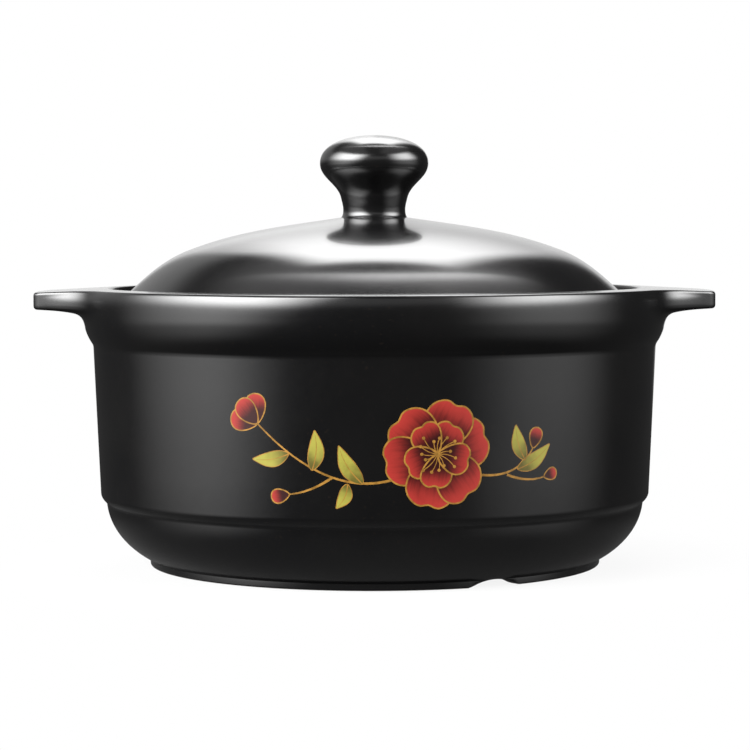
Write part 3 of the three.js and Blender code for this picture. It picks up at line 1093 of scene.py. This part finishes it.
def pale_floor(look):
    """A round pale floor that fades out a little way from the pot and keeps its shadow there."""
    bm = bmesh.new()
    bmesh.ops.create_circle(bm, cap_ends=True, segments=128, radius=FLOOR_RADIUS)
    bmesh.ops.translate(bm, verts=bm.verts, vec=(0, 0, -FLOOR_DROP))
    mesh = bpy.data.meshes.new("floor")
    bm.to_mesh(mesh)
    bm.free()
    finish, shader = new_shader("pale_floor")
    place = shader.add("ShaderNodeTexCoord", output="Object")
    x, y, _ = shader.parts(place)
    cloud = shader.noise(place, 6.0, 2.0)
    tint = shader.blend(cloud, rgba([part * 0.985 for part in look.floor]), rgba(look.floor))
    paper = shader.add("ShaderNodeBsdfDiffuse", None, {"Color": tint, "Roughness": 0.5})
    clear = shader.add("ShaderNodeBsdfTransparent")
    far = shader.rise((x * x + y * y) ** 0.5, *SHADOW_EDGE)
    seen_through = FLOOR_CLEAR + (1 - FLOOR_CLEAR) * far
    fade = shader.add("ShaderNodeMixShader", None, {0: seen_through, 1: paper, 2: clear})
    shader.add("ShaderNodeOutputMaterial", None, {"Surface": fade})
    mesh.materials.append(finish)
    floor = bpy.data.objects.new("floor", mesh)
    bpy.context.scene.collection.objects.link(floor)


def front_camera(look):
    """A camera in front of the pot, a little above the rim."""
    camera = bpy.data.objects.new("camera", bpy.data.cameras.new("camera"))
    camera.data.lens = look.camera_lens
    camera.data.sensor_width = SENSOR_WIDTH
    camera.location = (look.camera_aside, -look.camera_distance, look.camera_height)
    upright = Euler((math.pi / 2 - look.camera_tilt, 0, 0)).to_matrix()
    lean = Euler((0, 0, -look.camera_roll)).to_matrix()
    camera.rotation_euler = (upright @ lean).to_euler()
    bpy.context.scene.collection.objects.link(camera)
    bpy.context.scene.camera = camera


# Operators


class STEWPOT_OT_pot(Operator):
    """Make the pot with its two ears"""

    bl_idname = "stewpot.pot"
    bl_label = "Pot and Ears"

    def execute(self, context):
        settings = context.scene.stew_pot
        finish = glaze_finish("pot_black_glaze", settings.glaze, pot_bare_clay(settings.pot))
        bm = pot_mesh(settings.pot, settings.ear)
        make_piece(bm, "glazed_pot", finish, "pot", ("pot_body", "left_ear", "right_ear"))
        return {"FINISHED"}


class STEWPOT_OT_lid(Operator):
    """Make the domed lid"""

    bl_idname = "stewpot.lid"
    bl_label = "Lid"

    def execute(self, context):
        settings = context.scene.stew_pot
        finish = glaze_finish("lid_black_glaze", settings.glaze, lid_bare_clay)
        bm = lid_mesh(settings.lid, settings.knob)
        make_piece(bm, "glazed_lid", finish, "lid", ("lid_dome",))
        return {"FINISHED"}


class STEWPOT_OT_knob(Operator):
    """Make the knob on the lid"""

    bl_idname = "stewpot.knob"
    bl_label = "Knob"

    def execute(self, context):
        settings = context.scene.stew_pot
        finish = glaze_finish("knob_black_glaze", settings.glaze, no_bare_clay)
        make_piece(knob_mesh(settings.knob), "glazed_knob", finish, "lid", ("lid_knob",))
        return {"FINISHED"}


class STEWPOT_OT_print(Operator):
    """Lay the flower print on the front wall"""

    bl_idname = "stewpot.print"
    bl_label = "Flower Print"

    def execute(self, context):
        settings = context.scene.stew_pot
        look = settings.print_look
        petals = PrintSheet(settings.pot)
        leaves = PrintSheet(settings.pot)
        lines = PrintSheet(settings.pot)
        blossom(petals, lines, look)
        spray(petals, leaves, lines, look)
        petals.piece("print_petals", petal_finish(look), look)
        leaves.piece("print_leaves", leaf_finish(look), look)
        lines.piece("print_lines", gold_finish(look), look)
        return {"FINISHED"}


class STEWPOT_OT_stage(Operator):
    """Set up the floor, the studio light and the camera"""

    bl_idname = "stewpot.stage"
    bl_label = "Stage"

    def execute(self, context):
        look = context.scene.stew_pot.studio
        context.scene.view_settings.view_transform = "Standard"
        studio_light(look)
        pale_floor(look)
        front_camera(look)
        return {"FINISHED"}


class STEWPOT_PT_sidebar(Panel):
    """Lists the steps of the build"""

    bl_idname = "STEWPOT_PT_sidebar"
    bl_label = "Stew Pot"
    bl_space_type = "VIEW_3D"
    bl_region_type = "UI"
    bl_category = "Stew Pot"

    def draw(self, context):
        for step in STEPS:
            self.layout.operator(step.bl_idname)


STEPS = (STEWPOT_OT_pot, STEWPOT_OT_lid, STEWPOT_OT_knob, STEWPOT_OT_print, STEWPOT_OT_stage)
GROUPS = (PotSizes, EarSizes, LidSizes, KnobSizes, PrintLook, GlazeLook, StudioLook, StewPotSettings)
CLASSES = (*GROUPS, *STEPS, STEWPOT_PT_sidebar)


def register():
    """Registers the classes and adds the settings to the scene."""
    for cls in CLASSES:
        bpy.utils.register_class(cls)
    bpy.types.Scene.stew_pot = PointerProperty(type=StewPotSettings)


def unregister():
    """Removes the settings and the classes."""
    del bpy.types.Scene.stew_pot
    for cls in reversed(CLASSES):
        bpy.utils.unregister_class(cls)


def main():
    """Builds the pot and its stage."""
    register()
    bpy.ops.stewpot.pot()
    bpy.ops.stewpot.lid()
    bpy.ops.stewpot.knob()
    bpy.ops.stewpot.print()
    bpy.ops.stewpot.stage()


if __name__ == "__main__":
    main()
